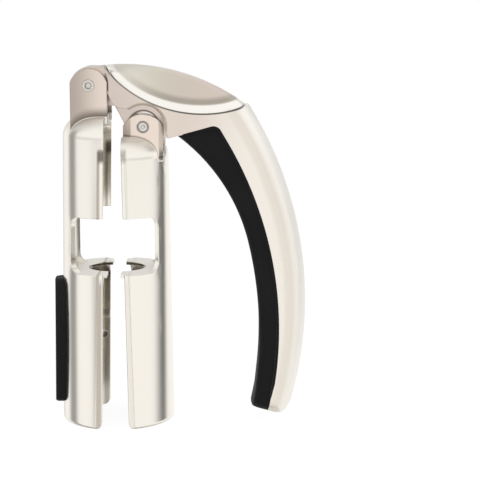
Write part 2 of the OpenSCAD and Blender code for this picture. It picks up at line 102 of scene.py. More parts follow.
# Lip of the grip: half width of the lever under it, how far it laps and how proud it stands
LEVER_HALF = 12.8
LIP_LAP = 0.6
LIP_PROUD = 0.12
# Its width below the lever's edge, how far behind the inner face it starts, and its share at the tips
LIP_ROOT = 0.5
LIP_START = 2.6
LIP_TIP = 0.2
# How far it sinks into the grip and reaches under the lever's edge, and its gap to the lever's side
LIP_SINK = 0.05
LIP_UNDER = 0.02
LIP_GAP = 0.005

# End of the handle: a point on it, its lean in degrees and the rounding of its side corners
END_AT = (62.05, 4.1)
END_LEAN = 14.5
END_INNER = 7.0
END_ROUND = 6.0
# The grip's last stretch above the end, how its cuts crowd together, and the rounding of its heel
END_ABOVE = 7.0
END_CROWD = 1.3
HEEL = 0.9
# How much of the palm's slant is left at the very end
END_TUCK = 0.2
# How far the edges of the inner face bow back at height zero, and the height where that starts
END_BOW = 2.3
BOW_TOP = 20.0

# Pad: how far its foot is above the solid's, radius of its long sides and of its corners
PAD_LIFT = 0.75
PAD_SIDE = 200.0
PAD_CORNER = 6.0
# Shell under the pad, and the pad's face: radius at the bottom and what it loses with height
PAD_SHELL = (22.83, 1.6 / 114.4)
PAD_FACE = (42.08, 1.6 / 124.5)
# Where the middle of the face's circle is, and the gap between pad and shell
PAD_FACE_X = 16.15
PAD_CLEAR = 0.05

# Cuts of the pad across and up
PAD_GRID = (16, 32)

# Crown: its cuts along and across, and how square its outline is from above; 2 is an ellipse
CROWN_GRID = (72, 48)
CROWN_SQUARE = 8

# Left pin's ends: width of the rim, how far in every second corner is, draft and depth of the socket
TOOTH_RIM = 0.45
TOOTH_IN = 0.6
TOOTH_DRAFT = 0.08
TOOTH_DEEP = 0.9
# Right pin's ends: steps inwards from the rim, each its width and its rise
DOME_STEPS = ((0.12, -0.7), (0.3, 0.0), (0.1, 0.45), (0.2, 0.12), (0.2, 0.08), (0.2, 0.04),
              (0.2, -0.1), (0.2, -0.18), (0.2, -0.26))
# Sides of the round pin
PIN_SIDES = 40

# Edges sharper than this many degrees stay sharp, and points closer than this many metres are one
SHARP = 38.0
SAME_POINT = 0.00001

# Marks on the shells, in metres. Distance from the gap's edge: where it starts, and its lean with height
GAP_EDGE = 0.0054
GAP_LEAN = 0.0177
# Bands of painted shade beside the gap, and the last one in height: middle, half width and softness
BEVEL_LINE = (0.0018, 0.0002, 0.0007)
BEVEL_WIDE = (0.0012, 0.0005, 0.0006)
CORNER_ACROSS = (0.0007, 0.0007, 0.0011)
CORNER_UP = (0.1098, 0.0012, 0.0024)
# Heights where those painted shades and the painted shade in the bore start and where they are full
BEVEL_TOP = (0.113, 0.111)
WIDE_TOP = (0.062, 0.058)
JAW_TOP = (0.0626, 0.0622)
JAW_FOOT = (0.052, 0.057)
MOUTH_TOP = (0.025, 0.006)
# The same for the radius of the bore's painted shade, and for the ears' tone by how far it is over the
# shoulder
BORE_WALL = (0.0190, 0.0187)
EAR_START = (0.00012, 0.00025)

# Marks on the lever and the crown, in metres. Bands of painted shade and painted highlight: middle, half
# width and softness
BACK_SHADE_BAND = (0.0068, 0.0008, 0.0022)
GROOVE_GLINT = (-0.00065, 0.00012, 0.0002)
VALLEY = (0.0040, 0.0002, 0.0022)
# How much further inside the crease the crown's painted shade band and painted highlight rim lie at its
# right
CROWN_SHIFT = 0.0006
# Places where the other marks start and where they are full
# The next sets where a painted highlight covers the handle's back
BACK_HIGHLIGHT_SPAN = (0.0055, 0.002)
BACK_DULL = (0.008, 0.003)
DULL_FROM = (0.045, 0.06)
# The next sets where painted shade on the head's left fades out
HEAD_SHADE_SPAN = (-0.002, 0.02)
HANDLE_PALE = (0.026, 0.056)
LINE_RIGHT = (0.0, 0.03)
LINE_ON_LEVER = (-0.00040, -0.00022)
LINE_END = (0.0525, 0.0495)
LINE_ON_CROWN = (0.00044, 0.00024)
# These five place the painted shade and painted highlight of the groove above the right ear
GROOVE_UP = (0.1216, 0.1236)
GROOVE_OUTER = (0.00045, 0.0002)
GROOVE_INNER = (-0.0005, -0.0002)
GROOVE_WIDE = (0.0105, 0.0085)
GLINT_FROM = (0.010, 0.0125)
CROWN_RIGHT = (0.008, 0.036)
# These three place the crown's painted highlight at its left, its painted shade band and its painted
# highlight rim
CROWN_LEFT = (0.024, 0.002)
VALLEY_FROM = (-0.002, 0.024)
RIM = (0.0033, 0.0024)

# Roughness of the shells and the lever, each plain and how much more where it is duller, and of the crown
SHELL_ROUGH = (0.2, 0.3)
LEVER_ROUGH = (0.28, 0.27)
CROWN_ROUGH = 0.28
# How far below the shoulder's top, in millimetres, the shells get duller: where it starts and is full
EAR_DULL = (7, 3)

# Strength of the marks from 0 to 1, all painted shade or highlight but the parting line's; a pair is the
# least and how much more it can be
CORNER_SHARE = (0.4, 0.6)
JAW_SHARE = 0.75
MOUTH_SHARE = 0.35
LINE_SHARE = (0.5, 0.42)
GROOVE_SHARE = 0.85
CROWN_LEFT_SHARE = 0.6
VALLEY_SHARE = 0.65
# Painted shade in gaps and hollows: how open a place is where it starts and ends, from 0 to 1
GAP_OPEN = (0.12, 0.6)
HOLLOW_OPEN = (0.1, 0.75)
# Strength of that shade in the metal's own hollows, and over how many millimetres of height it comes in
HOLLOW_SHARE = 0.62
HOLLOW_FADE = 3

# Tones of the marks; all but the warm drift and the parting line are painted shade or painted highlight
EAR_SHADE = (0.2, 0.165, 0.135, 1)
BEVEL_PAINTED_SHADE = (0.42, 0.37, 0.32, 1)
CORNER_PAINTED_SHADE = (0.13, 0.11, 0.095, 1)
BORE_PAINTED_SHADE = (0.16, 0.14, 0.12, 1)
WARM_TONE = (0.86, 0.80, 0.74, 1)
HOLLOW_PAINTED_SHADE = (0.26, 0.23, 0.2, 1)
GAP_PAINTED_SHADE = (0.04, 0.036, 0.032, 1)
LINE_TONE = (0.05, 0.045, 0.04, 1)
GLINT_TONE = (1, 0.97, 0.94, 1)
GROOVE_PAINTED_SHADE = (0.06, 0.05, 0.045, 1)
BACK_PAINTED_HIGHLIGHT = (1, 0.985, 0.95, 1)
CROWN_LEFT_PAINTED_HIGHLIGHT = (0.8, 0.78, 0.72, 1)
VALLEY_PAINTED_SHADE = (0.26, 0.24, 0.20, 1)
RIM_PAINTED_HIGHLIGHT = (0.96, 0.95, 0.92, 1)

# Stage: half size of the floor, lamps with their place, size and watts, and what they point at
FLOOR_HALF = 2.5
LAMPS = (("key_light", (-0.55, -0.75, 0.85), 0.7, 2.5), ("fill_light", (0.75, -0.5, 0.55), 0.7, 1.5))
LAMP_AIM = (0.02, 0, 0.07)
# Camera: its place, its tilt in degrees, and its sensor and lens in millimetres
CAMERA_AT = (0.050, -0.598, 0.1715)
CAMERA_TILT = 80.7
CAMERA_SENSOR = 36.0
CAMERA_LENS = 111.7


class OpenerSizes(bpy.types.PropertyGroup):
    """Sizes of the dressed pieces that a user would change."""

    edge_soft: FloatProperty(
        name="Edge softness", description="Radius of the worn edges of the metal",
        default=0.6 * MM, min=0, unit="LENGTH")
    crown_fullness: FloatProperty(
        name="Crown fullness", description="How square the crown's section is; 2 is an ellipse",
        default=2.3, min=1.5, max=4)
    grip_round: FloatProperty(
        name="Grip rounding", description="Rounding of the grip's inner edges",
        default=3 * MM, min=0.5 * MM, unit="LENGTH")
    pad_edge: FloatProperty(
        name="Pad edge", description="Rounding round the pad's face",
        default=1.1 * MM, min=0.2 * MM, unit="LENGTH")
    pin_teeth: IntProperty(
        name="Pin teeth", description="Teeth in the left pin's pressed end",
        default=12, min=6, max=40)


class OpenerColours(bpy.types.PropertyGroup):
    """Colours of the finishes."""

    shell: FloatVectorProperty(
        name="Shells", description="Satin nickel of the two half shells",
        default=(0.92, 0.90, 0.845), size=3, subtype="COLOR", min=0, max=1)
    lever: FloatVectorProperty(
        name="Lever", description="Satin nickel of the lever's handle",
        default=(0.89, 0.855, 0.80), size=3, subtype="COLOR", min=0, max=1)
    blush: FloatVectorProperty(
        name="Blush", description="Pinkish nickel of the lever's head and the ears",
        default=(0.84, 0.74, 0.675), size=3, subtype="COLOR", min=0, max=1)
    crown: FloatVectorProperty(
        name="Crown", description="Polished nickel of the crown cap",
        default=(0.60, 0.58, 0.50), size=3, subtype="COLOR", min=0, max=1)
    rubber: FloatVectorProperty(
        name="Rubber", description="Black soft rubber of the grip and the pad",
        default=(0.007, 0.0066, 0.0072), size=3, subtype="COLOR", min=0, max=1)
    steel: FloatVectorProperty(
        name="Steel", description="Pins, washers and screws",
        default=(0.80, 0.78, 0.75), size=3, subtype="COLOR", min=0, max=1)
    bronze: FloatVectorProperty(
        name="Bronze", description="Hinge bushes",
        default=(0.56, 0.38, 0.16), size=3, subtype="COLOR", min=0, max=1)


class Wire:
    """An output socket; arithmetic on it adds Math nodes."""

    def __init__(self, board, socket):
        self.board = board
        self.socket = socket

    def __add__(self, other):
        return self.board.maths("ADD", self, other)

    def __radd__(self, other):
        return self.board.maths("ADD", other, self)

    def __sub__(self, other):
        return self.board.maths("SUBTRACT", self, other)

    def __rsub__(self, other):
        return self.board.maths("SUBTRACT", other, self)

    def __mul__(self, other):
        return self.board.maths("MULTIPLY", self, other)

    def __rmul__(self, other):
        return self.board.maths("MULTIPLY", other, self)

    def out(self, name):
        """Another output of the same node."""
        return Wire(self.board, self.socket.node.outputs[name])


class Board:
    """A node tree being wired."""

    def __init__(self, tree):
        tree.nodes.clear()
        self.tree = tree

    def add(self, kind, settings=None, sockets=None):
        """Any node: its settings first, then the values or links of its sockets."""
        node = self.tree.nodes.new(kind)
        for name, value in (settings or {}).items():
            setattr(node, name, value)
        for name, value in (sockets or {}).items():
            if isinstance(value, Wire):
                self.tree.links.new(value.socket, node.inputs[name])
            else:
                node.inputs[name].default_value = value
        return Wire(self, node.outputs[0]) if node.outputs else node

    def maths(self, operation, *values):
        """A Math node on numbers or wires."""
        return self.add("ShaderNodeMath", {"operation": operation}, dict(enumerate(values)))

    def mix(self, factor, low, high):
        """A colour between two colours."""
        return self.add("ShaderNodeMix", {"data_type": "RGBA"}, {0: factor, 6: low, 7: high}).out(2)

    def rise(self, value, start, end):
        """Goes smoothly from 0 at start to 1 at end."""
        return self.add("ShaderNodeMapRange", {"interpolation_type": "SMOOTHSTEP"},
                        {"Value": value, "From Min": start, "From Max": end})

    def band(self, value, centre, half, soft):
        """1 within half of the centre, easing to 0 over the soft width."""
        up = self.rise(value, centre - half - soft, centre - half)
        down = self.rise(value, centre + half, centre + half + soft)
        return up * (1 - down)

    def noise(self, place, scale, detail):
        """Noise from 0 to 1."""
        return self.add("ShaderNodeTexNoise", {}, {"Vector": place, "Scale": scale, "Detail": detail})


def rgba(colour, gain=(1, 1, 1)):
    """A colour with full alpha, each channel scaled."""
    return tuple(min(1.0, c * g) for c, g in zip(colour, gain)) + (1.0,)


def new_material(name):
    """A material with its board, its shader's sockets and object coordinates."""
    material = bpy.data.materials.new(name)
    material.use_nodes = True
    board = Board(material.node_tree)
    shader = board.add("ShaderNodeBsdfPrincipled")
    board.add("ShaderNodeOutputMaterial", {}, {"Surface": shader})
    place = board.add("ShaderNodeTexCoord").out("Object")
    return material, board, shader.socket.node.inputs, place


def link(board, wire, socket):
    """Links a wire to a shader socket."""
    board.tree.links.new(wire.socket, socket)


def hollows(board, colour, near, far, share, tint=HOLLOW_PAINTED_SHADE):
    """Paints shade into a colour in narrow gaps, and less of it inside a piece's own hollows."""
    kind = "ShaderNodeAmbientOcclusion"
    gaps = board.add(kind, {"samples": 12}, {"Distance": near}).out("AO")
    bore = board.add(kind, {"samples": 12, "only_local": True}, {"Distance": far}).out("AO")
    shut = 1 - board.rise(gaps, *GAP_OPEN)
    deep = 1 - board.rise(bore, *HOLLOW_OPEN)
    dark = board.add("ShaderNodeMix", {"data_type": "RGBA", "blend_type": "MULTIPLY"},
                     {0: 1.0, 6: colour, 7: tint}).out(2)
    return board.mix(board.maths("MAXIMUM", shut, deep * share), colour, dark)


def satin_metal(name, tone, rough, edge, inside_top=0, metallic=1.0):
    """Blasted and plated metal with softened edges; tone and rough give its colour and roughness.

    The piece's own hollows get painted shade below inside_top.
    """
    material, board, inputs, place = new_material(name)
    z = axes(board, place)[2]
    inside = board.rise(z, inside_top * MM, (inside_top - HOLLOW_FADE) * MM)
    cloud = board.noise(place, scale=24.0, detail=3.0)
    grain = board.noise(place, scale=2600.0, detail=2.0)
    plain = tone(board, place)
    drift = board.mix(board.rise(cloud, 0.3, 0.7) * 0.1, plain, WARM_TONE)
    # Painted shade in narrow gaps and in the piece's own hollows
    shaded = hollows(board, drift, near=0.003, far=0.04, share=inside * HOLLOW_SHARE)
    link(board, shaded, inputs["Base Color"])
    link(board, rough(board, place) - 0.03 + cloud * 0.04 + grain * 0.02, inputs["Roughness"])
    inputs["Metallic"].default_value = metallic
    soft = board.add("ShaderNodeBevel", {"samples": 8}, {"Radius": edge})
    bump = board.add("ShaderNodeBump", {},
                     {"Strength": 0.02, "Distance": 0.00002, "Height": grain, "Normal": soft})
    link(board, bump, inputs["Normal"])
    return material


def axes(board, place):
    """The three coordinates of a place."""
    parts = board.add("ShaderNodeSeparateXYZ", {}, {"Vector": place})
    return parts.out("X"), parts.out("Y"), parts.out("Z")


def shell_tone(body, ear, ear_painted_shade, ear_left, ear_right, foot, top, side, dull_and_shade):
    """Colour of a shell: pale up to its shoulder, blush on the ears with painted shade to their left and at
    their foot, and painted shade on the bevel beside the gap, at a corner of it and in the bore.
    """
    def tone(board, place):
        x, y, z = axes(board, place)
        radius = board.maths("SQRT", x * x + y * y)
        outwards = board.maths("MAXIMUM", radius - SHOULDER[0] * MM, 0.0)
        square = (SHOULDER[1] * MM) ** 2 - outwards * outwards
        curve = board.maths("SQRT", board.maths("MAXIMUM", square, 0.0))
        over = z - (top - SHOULDER[1]) * MM - curve
        # Painted shade: the ears darker to the left, and darker at their foot
        blush = board.mix(board.rise(x, ear_left * MM, ear_right * MM), rgba(ear_painted_shade), rgba(ear))
        blush = board.mix((1 - board.rise(over, 0.0, foot * MM)), blush, EAR_SHADE)
        from_gap = x * side - GAP_EDGE + z * GAP_LEAN
        # Painted shade along the bevel beside the gap, and at a corner of it, stronger on the left shell
        bevel = board.band(from_gap, *BEVEL_LINE) * board.rise(z, *BEVEL_TOP)
        wide = board.band(from_gap, *BEVEL_WIDE) * board.rise(z, *WIDE_TOP)
        pale = board.mix(board.maths("MAXIMUM", bevel, wide) * dull_and_shade, rgba(body), BEVEL_PAINTED_SHADE)
        corner = board.band(from_gap, *CORNER_ACROSS) * board.band(z, *CORNER_UP)
        pale = board.mix(corner * (CORNER_SHARE[0] + dull_and_shade * CORNER_SHARE[1]), pale, CORNER_PAINTED_SHADE)
        # Painted shade inside the bore, just under the jaws and towards its mouth at the bottom
        jaw = board.rise(z, *JAW_TOP) * board.rise(z, *JAW_FOOT) * JAW_SHARE
        mouth = board.rise(z, *MOUTH_TOP) * MOUTH_SHARE
        bore = board.rise(radius, *BORE_WALL) * board.maths("MAXIMUM", jaw, mouth)
        pale = board.mix(bore, pale, BORE_PAINTED_SHADE)
        return board.mix(board.rise(over, *EAR_START), pale, blush)
    return tone


def shell_rough(top):
    """Satin up to the shoulder, and duller on the ears."""
    def rough(board, place):
        z = axes(board, place)[2]
        dull_and_shade = board.rise(z, (top - EAR_DULL[0]) * MM, (top - EAR_DULL[1]) * MM)
        return SHELL_ROUGH[0] + dull_and_shade * SHELL_ROUGH[1]
    return rough


def even(value):
    """The same roughness all over."""
    def rough(board, place):
        return value
    return rough


def within(board, circle, x, z):
    """How far inside a circle a place is, seen from the front."""
    dx = x - circle[0] * MM
    dz = z - circle[1] * MM
    return circle[2] * MM - board.maths("SQRT", dx * dx + dz * dz)


def lever_rough(board, place):
    """Satin, and duller along the back of the handle."""
    x, _, z = axes(board, place)
    dull_and_shade = board.rise(within(board, BACK, x, z), *BACK_DULL) * board.rise(x, *DULL_FROM)
    return LEVER_ROUGH[0] + dull_and_shade * LEVER_ROUGH[1]


def parting(board, colour, x, edge):
    """Darkens a colour along the parting line, more to the right; edge is 1 on the line."""
    strength = LINE_SHARE[0] + board.rise(x, *LINE_RIGHT) * LINE_SHARE[1]
    return board.mix(edge * strength, colour, LINE_TONE)


def groove(board, colour, x, z):
    """Paints shade where a groove would be above the right ear, wider on its left, with a painted highlight
    line inside it.
    """
    out = 0 - within(board, PAINTED_GROOVE, x, z)
    upper = board.rise(z, *GROOVE_UP)
    bright = board.band(out, *GROOVE_GLINT) * board.rise(x, *GLINT_FROM)
    under = board.rise(out, *GROOVE_OUTER)
    inner = board.maths("MAXIMUM", board.rise(out, *GROOVE_INNER), board.rise(x, *GROOVE_WIDE))
    lit = board.mix(bright * upper, colour, GLINT_TONE)
    return board.mix(under * inner * upper * GROOVE_SHARE, lit, GROOVE_PAINTED_SHADE)


def lever_tone(head, handle):
    """Colour of the lever: blush at the head with painted shade on its left, pale down the handle with a
    painted shade band and a painted highlight along its back.
    """
    def tone(board, place):
        x, _, z = axes(board, place)
        depth = within(board, BACK, x, z)
        # Painted shade in a band along the handle, then a painted highlight on its back
        band_painted_shade = rgba(handle, (0.9, 0.885, 0.86))
        pale = board.mix(board.band(depth, *BACK_SHADE_BAND), rgba(handle), band_painted_shade)
        pale = board.mix(board.rise(depth, *BACK_HIGHLIGHT_SPAN), pale, BACK_PAINTED_HIGHLIGHT)
        # Painted shade on the head's left
        blush = board.mix(board.rise(x, *HEAD_SHADE_SPAN), rgba(head, (0.86, 0.85, 0.85)), rgba(head))
        whole = board.mix(board.rise(x, *HANDLE_PALE), blush, pale)
        whole = groove(board, whole, x, z)
        edge = board.rise(within(board, CREASE, x, z), *LINE_ON_LEVER) * board.rise(x, *LINE_END)
        return parting(board, whole, x, edge)
    return tone


def crown_tone(panel):
    """Colour of the crown: a painted highlight along its rim, a band of painted shade inside it, then the
    panel, with a painted highlight at the left.
    """
    def tone(board, place):
        x, _, z = axes(board, place)
        inside = within(board, CREASE, x, z)
        right = board.rise(x, *CROWN_RIGHT)
        from_rim = inside - right * CROWN_SHIFT
        base = board.mix(right, rgba(panel), rgba(panel, (1.05, 0.95, 1.0)))
        # Painted highlight at the left, painted shade in a band inside the rim, and a painted highlight
        # along the rim
        base = board.mix(board.rise(x, *CROWN_LEFT) * CROWN_LEFT_SHARE, base, CROWN_LEFT_PAINTED_HIGHLIGHT)
        valley = board.band(from_rim, *VALLEY) * board.rise(x, *VALLEY_FROM)
        base = board.mix(valley * VALLEY_SHARE, base, VALLEY_PAINTED_SHADE)
        whole = board.mix(board.rise(from_rim, *RIM), base, RIM_PAINTED_HIGHLIGHT)
        return parting(board, whole, x, board.rise(inside, *LINE_ON_CROWN))
    return tone


def soft_rubber(name, colour):
    """Matt moulded rubber with a fine grain and slightly worn high spots."""
    material, board, inputs, place = new_material(name)
    cloud = board.noise(place, scale=60.0, detail=4.0)
    pebble = board.add("ShaderNodeTexVoronoi", {}, {"Vector": place, "Scale": 2200.0})
    worn = board.mix(board.rise(cloud, 0.45, 0.75), rgba(colour), rgba(colour, (1.5, 1.45, 1.4)))
    link(board, worn, inputs["Base Color"])
    link(board, 0.52 + cloud * 0.12, inputs["Roughness"])
    bump = board.add("ShaderNodeBump", {}, {"Strength": 0.35, "Distance": 0.00004, "Height": pebble})
    link(board, bump, inputs["Normal"])
    inputs["Specular IOR Level"].default_value = 0.14
    return material


def turned_metal(name, colour, rough):
    """Turned steel or bronze with fine marks across it."""
    material, board, inputs, place = new_material(name)
    stretched = board.add("ShaderNodeMapping", {}, {"Vector": place, "Scale": (1.0, 9.0, 1.0)})
    marks = board.noise(stretched, scale=900.0, detail=3.0)
    tint = board.mix(marks, rgba(colour), rgba(colour, (0.82, 0.81, 0.8)))
    # Painted shade in narrow gaps and small hollows
    tint = hollows(board, tint, near=0.0012, far=0.003, share=0.85, tint=GAP_PAINTED_SHADE)
    link(board, tint, inputs["Base Color"])
    link(board, rough - 0.06 + marks * 0.14, inputs["Roughness"])
    inputs["Metallic"].default_value = 1.0
    bump = board.add("ShaderNodeBump", {}, {"Strength": 0.08, "Distance": 0.00003, "Height": marks})
    link(board, bump, inputs["Normal"])
    return material


def hard_plastic(name, colour):
    """Moulded core plastic with a light grain."""
    material, board, inputs, place = new_material(name)
    cloud = board.noise(place, scale=90.0, detail=3.0)
    grain = board.noise(place, scale=1800.0, detail=2.0)
    link(board, board.mix(cloud, rgba(colour), rgba(colour, (1.5, 1.5, 1.5))), inputs["Base Color"])
    link(board, 0.4 + grain * 0.15, inputs["Roughness"])
    bump = board.add("ShaderNodeBump", {}, {"Strength": 0.15, "Distance": 0.00003, "Height": grain})
    link(board, bump, inputs["Normal"])
    return material


def skins(bm):
    """The separate skins of a bmesh, each as a list of faces."""
    left = set(bm.faces)
    while left:
        skin = []
        front = [left.pop()]
        while front:
            face = front.pop()
            skin.append(face)
            around = {other for edge in face.edges for other in edge.link_faces} & left
            left -= around
            front.extend(around)
        yield skin


def skin_volume(skin):
    """Volume inside a skin, below zero where it is inside out."""
    total = 0.0
    for face in skin:
        first, *others = [vert.co for vert in face.verts]
        for one, two in zip(others, others[1:]):
            total += first.dot(one.cross(two)) / 6
    return total


def grow(bm, face, first):
    """Extrudes a face one step and returns the new end; only the first face stays, as the closed start."""
    grown = bmesh.ops.extrude_face_region(bm, geom=[face])["geom"]
    end = next(part for part in grown if isinstance(part, bmesh.types.BMFace))
    if face.is_valid and not first:
        bmesh.ops.delete(bm, geom=[face], context="FACES_ONLY")
    return end


def finish_piece(bm, name, material):
    """Closes a bmesh into an object with its place in its mesh."""
    bmesh.ops.remove_doubles(bm, verts=bm.verts, dist=SAME_POINT)
    bmesh.ops.recalc_face_normals(bm, faces=bm.faces)
    for skin in list(skins(bm)):
        if skin_volume(skin) < 0:
            bmesh.ops.reverse_faces(bm, faces=skin)
    mesh = bpy.data.meshes.new(name)
    bm.to_mesh(mesh)
    bm.free()
    mesh.shade_smooth()
    mesh.set_sharp_from_angle(angle=math.radians(SHARP))
    mesh.materials.append(material)
    piece = bpy.data.objects.new(name, mesh)
    bpy.context.scene.collection.objects.link(piece)
    return piece


def put_on(material, *names):
    """Gives CAD nodes a finish."""
    for name in names:
        for slot in NODES[name].material_slots:
            slot.material = material


def across(circle, up):
    """Where a circle's right side is at a height, in millimetres."""
    return circle[0] + math.sqrt(circle[2] ** 2 - (up - circle[1]) ** 2)


def crown_point(corners, s, t, fullness, on_top):
    """A point of the crown: s runs from its left tip to its right one, t from front to back."""
    low_corner, high_corner = corners
    middle = (low_corner.x + high_corner.x) / 2 / MM
    reach = (high_corner.x - low_corner.x) / 2 / MM
    half = (high_corner.y - low_corner.y) / 2 / MM
    x = middle + reach * s
    low = CREASE[1] - math.sqrt(CREASE[2] ** 2 - (x - CREASE[0]) ** 2)
    rise = RIDGE[1] + math.sqrt(RIDGE[2] ** 2 - (x - RIDGE[0]) ** 2) - low
    half *= math.sqrt(max(0.0, 1 - abs(s) ** CROWN_SQUARE))
    turn = t * math.pi / 2
    y = half * math.copysign(abs(math.sin(turn)) ** (2 / fullness), t)
    lift = max(0.0, rise) * max(0.0, math.cos(turn)) ** (2 / fullness) if on_top else 0.0
    return Vector((x, y, low + lift)) * MM


class OPENER_OT_metalwork(bpy.types.Operator):
    """Finish the shells and the lever in satin nickel"""

    bl_idname = "opener.metalwork"
    bl_label = "Shells and lever"

    def execute(self, context):
        colours = context.scene.opener_colours
        edge = context.scene.opener_sizes.edge_soft
        blush = Vector(colours.blush)
        # The last value for each shell sets how strong the painted shade beside the gap is
        left = shell_tone(colours.shell, ear=blush, ear_painted_shade=blush * 0.57, ear_left=-17, ear_right=-3,
                          foot=4.6, top=LEFT_TOP, side=-1, dull_and_shade=0.8)
        right = shell_tone(colours.shell, ear=blush * 1.07, ear_painted_shade=blush * 1.02, ear_left=4, ear_right=12,
                           foot=1.4, top=RIGHT_TOP, side=1, dull_and_shade=0.15)
        for name, tone, top in (("left_shell", left, LEFT_TOP), ("right_shell", right, RIGHT_TOP)):
            put_on(satin_metal(name + "_nickel", tone, shell_rough(top), edge, top - HOLLOW_BELOW), name)
        lever = lever_tone(head=blush * 0.88, handle=colours.lever)
        put_on(satin_metal("lever_nickel", lever, lever_rough, edge, metallic=0.85), "lever_body")
        return {"FINISHED"}


class OPENER_OT_hidden_parts(bpy.types.Operator):
    """Finish the bushes, washers, screws and cores"""

    bl_idname = "opener.hidden_parts"
    bl_label = "Bushes, washers, screws and cores"

    def execute(self, context):
        colours = context.scene.opener_colours
        put_on(turned_metal("hinge_steel", colours.steel, rough=0.3),
               "left_washer_front", "left_washer_back", "right_washer_front", "right_washer_back",
               "grip_screw_upper", "grip_screw_lower", "pad_screw_upper", "pad_screw_lower", "pad_core")
        bronze = turned_metal("bush_bronze", colours.bronze, rough=0.34)
        put_on(bronze, "left_hinge_bush", "right_hinge_bush")
        put_on(hard_plastic("core_plastic", colours.rubber), "grip_core")
        return {"FINISHED"}


class OPENER_OT_crown(bpy.types.Operator):
    """Make the smooth crown cap over the lever's head"""

    bl_idname = "opener.crown"
    bl_label = "Crown cap"

    def execute(self, context):
        sizes = context.scene.opener_sizes
        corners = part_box("crown_cap")
        bm = bmesh.new()
        for on_top in (True, False):
            made = bmesh.ops.create_grid(bm, x_segments=CROWN_GRID[0], y_segments=CROWN_GRID[1], size=1)
            for vert in made["verts"]:
                s = math.sin(vert.co.x * math.pi / 2)
                vert.co = crown_point(corners, s, vert.co.y, sizes.crown_fullness, on_top)
        tone = crown_tone(context.scene.opener_colours.crown)
        material = satin_metal("crown_nickel", tone, even(CROWN_ROUGH), sizes.edge_soft)
        piece = finish_piece(bm, "crown_cover", material)
        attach(piece, "lever")
        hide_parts("crown_cap")
        return {"FINISHED"}


def end_place(run, up):
    """A point in the handle's end frame: run along the end, up from it, in millimetres."""
    lean = math.radians(END_LEAN)
    return (END_AT[0] + run * math.cos(lean) + up * math.sin(lean),
            END_AT[1] - run * math.sin(lean) + up * math.cos(lean))


def end_meets(circle, up):
    """How far along a cut parallel to the end a circle's right side is."""
    lean = math.radians(END_LEAN)
    start = end_place(0, up)
    dx, dz = start[0] - circle[0], start[1] - circle[1]
    along = dx * math.cos(lean) - dz * math.sin(lean)
    return math.sqrt(along ** 2 - dx ** 2 - dz ** 2 + circle[2] ** 2) - along


def palm(up):
    """Where the grip's inner face lies at a height."""
    circle = PALM_HIGH if up > PALM_JOIN else PALM_LOW
    slant = PALM_SLANT[0] if up > PALM_LEVEL else PALM_SLANT[1]
    return across(circle, up) + slant * (PALM_LEVEL - up)


def grip_stations():
    """Cross cuts of the grip from top to bottom: inner point, outer point and half width."""
    outer = (GRIP_LINE[0], GRIP_LINE[1], GRIP_LINE[2] - GRIP_CLEAR)
    corner_x, corner_up, corner_r = GRIP_CORNER
    stations = []
    first = 90 + HEAD_SLOPE
    last = math.degrees(math.atan2(corner_up - outer[1], corner_x - outer[0]))
    for i in range(TOP_CUTS):
        turn = math.radians(first + (last - first) * i / (TOP_CUTS - 1))
        inner_up = GRIP_TOP[1] - TOP_STEP * i
        corner = (corner_x + corner_r * math.cos(turn), corner_up + corner_r * math.sin(turn))
        stations.append(((palm(inner_up), inner_up), corner, GRIP_HALF))
    low_inner = end_place(end_meets(PALM_LOW, END_ABOVE), END_ABOVE)[1]
    low_outer = end_place(end_meets(outer, END_ABOVE), END_ABOVE)[1]
    high_inner, high_outer = stations[-1][0][1], stations[-1][1][1]
    for i in range(1, SIDE_CUTS + 1):
        inner_up = high_inner + (low_inner - high_inner) * i / SIDE_CUTS
        outer_up = high_outer + (low_outer - high_outer) * i / SIDE_CUTS
        stations.append(((palm(inner_up), inner_up), (across(outer, outer_up), outer_up), GRIP_HALF))
    for i in range(1, END_CUTS + 1):
        up = END_ABOVE * math.cos(math.radians(90 * i / END_CUTS)) ** END_CROWD
        heel = math.sqrt(HEEL ** 2 - max(0.0, HEEL - up) ** 2)
        tuck = PALM_SLANT[1] * (PALM_LEVEL - low_inner) * (END_TUCK + (1 - END_TUCK) * up / END_ABOVE)
        inner = end_place(end_meets(PALM_LOW, up) + tuck + HEEL - heel, up)
        half = END_INNER + math.sqrt(END_ROUND ** 2 - max(0.0, END_ROUND - up) ** 2)
        stations.append((inner, end_place(end_meets(outer, up), up), min(GRIP_HALF, half)))
    return stations


